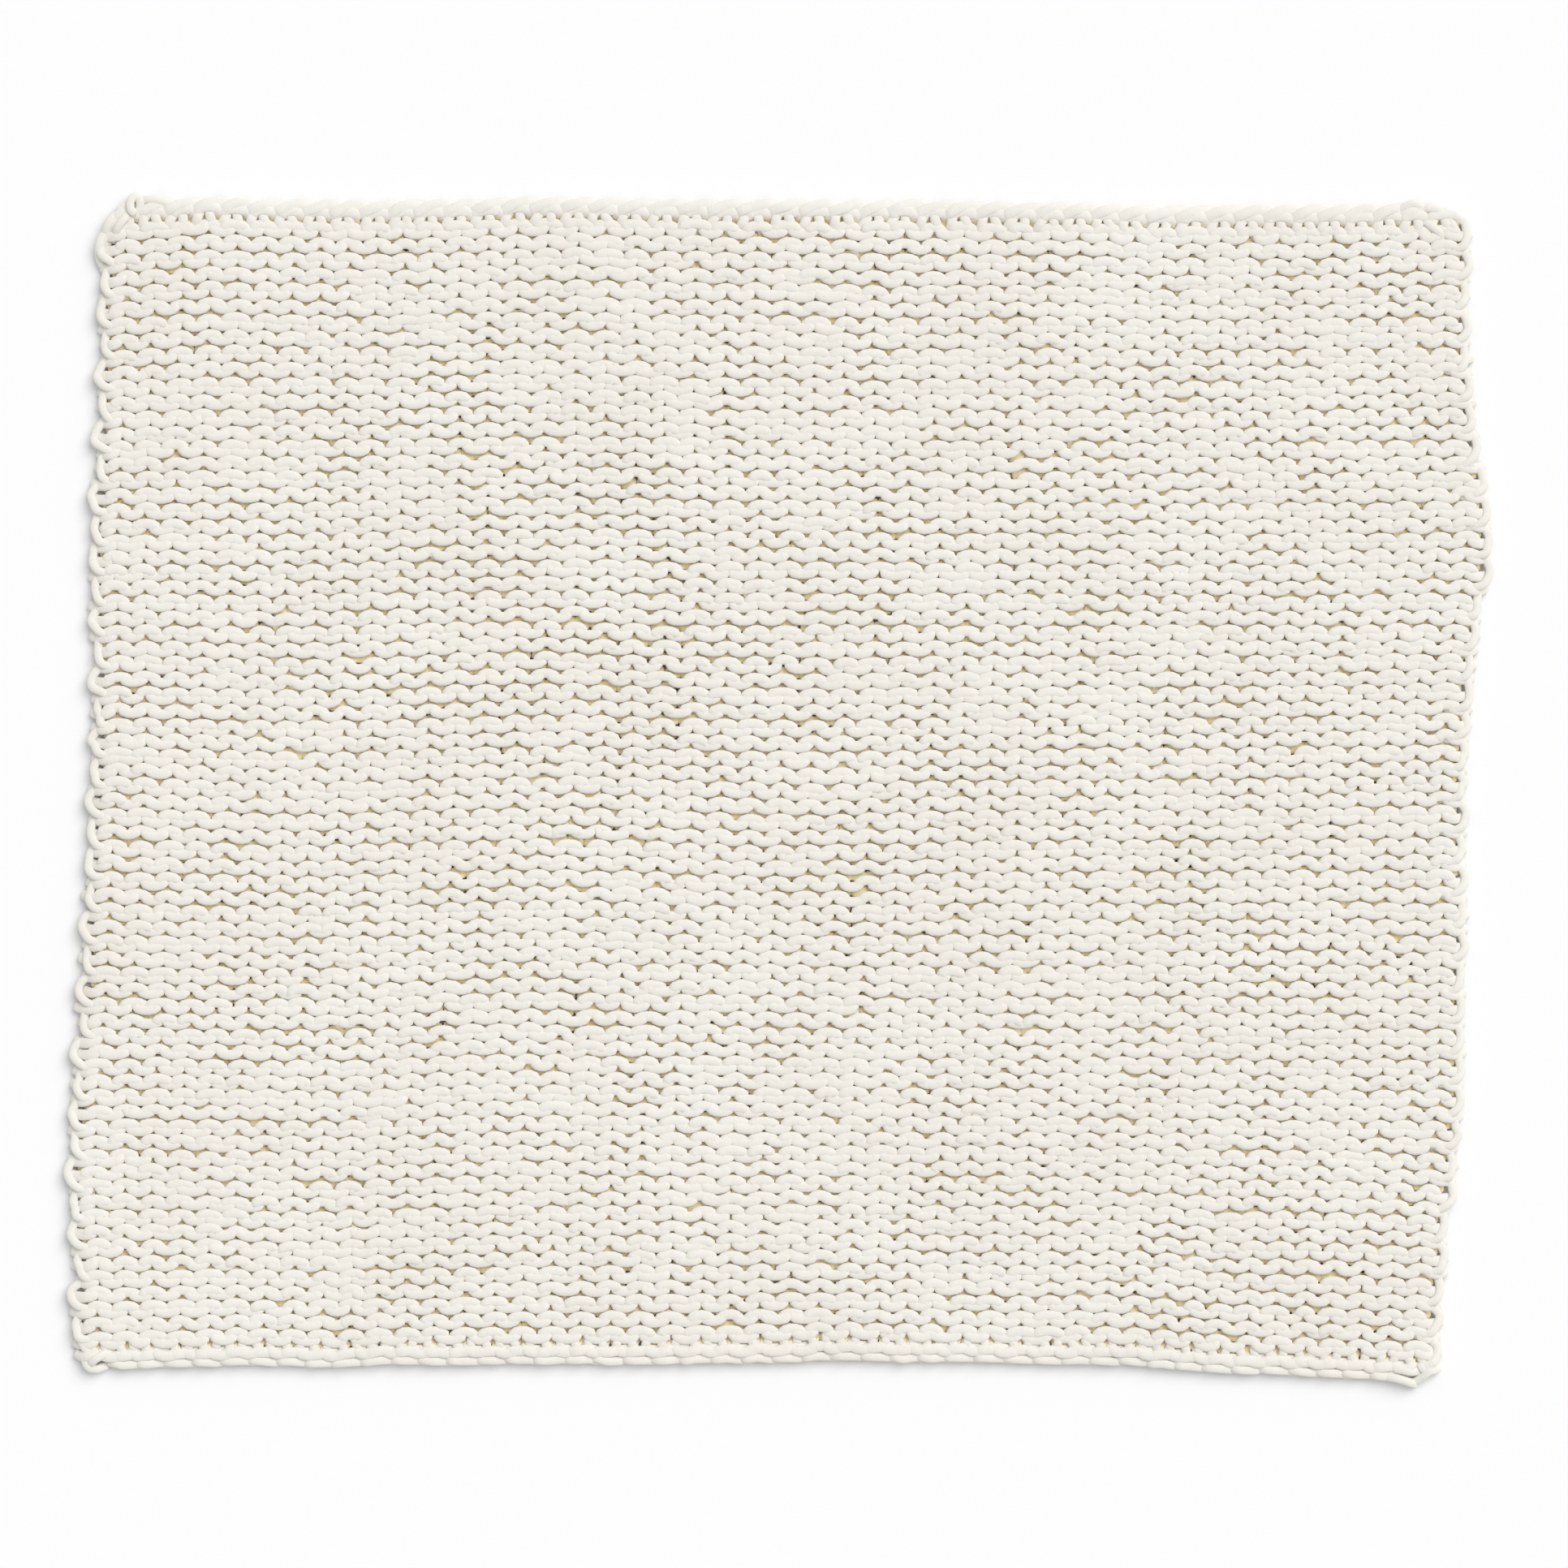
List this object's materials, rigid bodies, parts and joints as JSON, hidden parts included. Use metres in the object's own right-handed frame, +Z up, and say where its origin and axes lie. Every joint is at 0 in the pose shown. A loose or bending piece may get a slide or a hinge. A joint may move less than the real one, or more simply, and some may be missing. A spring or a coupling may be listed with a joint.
{
  "type": "knitted throw blanket",
  "caption": "Chunky knitted throw, purl side up and laid flat: knitted ridges between a cast-on and a bind-off edge. It folds in thirds along two valleys.",
  "frame": {"origin": "centre of the throw on the surface it lies on (bottom centre of the bounding box)", "axes": "+X along the knitted courses to the right side edge, +Y up the throw to the bind-off edge, +Z up out of the surface"},
  "size_m": [1.5672, 1.304, 0.018],
  "materials": {
    "knit_yarn": "soft matte brushed yarn"
  },
  "bodies": {
    "middle_band": {"ridge_13": "knit_yarn", "ridge_14": "knit_yarn", "ridge_15": "knit_yarn", "ridge_16": "knit_yarn", "ridge_17": "knit_yarn", "ridge_18": "knit_yarn", "ridge_19": "knit_yarn", "ridge_20": "knit_yarn", "ridge_21": "knit_yarn", "ridge_22": "knit_yarn", "ridge_23": "knit_yarn", "ridge_24": "knit_yarn", "ridge_25": "knit_yarn", "left_selvedge_middle": "knit_yarn", "right_selvedge_middle": "knit_yarn"},
    "lower_band": {"cast_on_edge": "knit_yarn", "bottom_left_knot": "knit_yarn", "bottom_right_tail": "knit_yarn", "ridge_01": "knit_yarn", "ridge_02": "knit_yarn", "ridge_03": "knit_yarn", "ridge_04": "knit_yarn", "ridge_05": "knit_yarn", "ridge_06": "knit_yarn", "ridge_07": "knit_yarn", "ridge_08": "knit_yarn", "ridge_09": "knit_yarn", "ridge_10": "knit_yarn", "ridge_11": "knit_yarn", "ridge_12": "knit_yarn", "left_selvedge_lower": "knit_yarn", "right_selvedge_lower": "knit_yarn"},
    "upper_band": {"ridge_26": "knit_yarn", "ridge_27": "knit_yarn", "ridge_28": "knit_yarn", "ridge_29": "knit_yarn", "ridge_30": "knit_yarn", "ridge_31": "knit_yarn", "ridge_32": "knit_yarn", "ridge_33": "knit_yarn", "ridge_34": "knit_yarn", "ridge_35": "knit_yarn", "ridge_36": "knit_yarn", "ridge_37": "knit_yarn", "left_selvedge_upper": "knit_yarn", "right_selvedge_upper": "knit_yarn", "bind_off_edge": "knit_yarn", "top_left_knot": "knit_yarn", "top_right_knot": "knit_yarn"}
  },
  "joints": [
    {"name": "lower_fold", "type": "hinge", "parent": "middle_band", "child": "lower_band", "pos_m": [0, -0.21968, 0.01815], "axis": [-1, 0, 0], "range_deg": [0, 180]},
    {"name": "upper_fold", "type": "hinge", "parent": "middle_band", "child": "upper_band", "pos_m": [0, 0.22268, 0.02745], "axis": [1, 0, 0], "range_deg": [0, 180]}
  ]
}
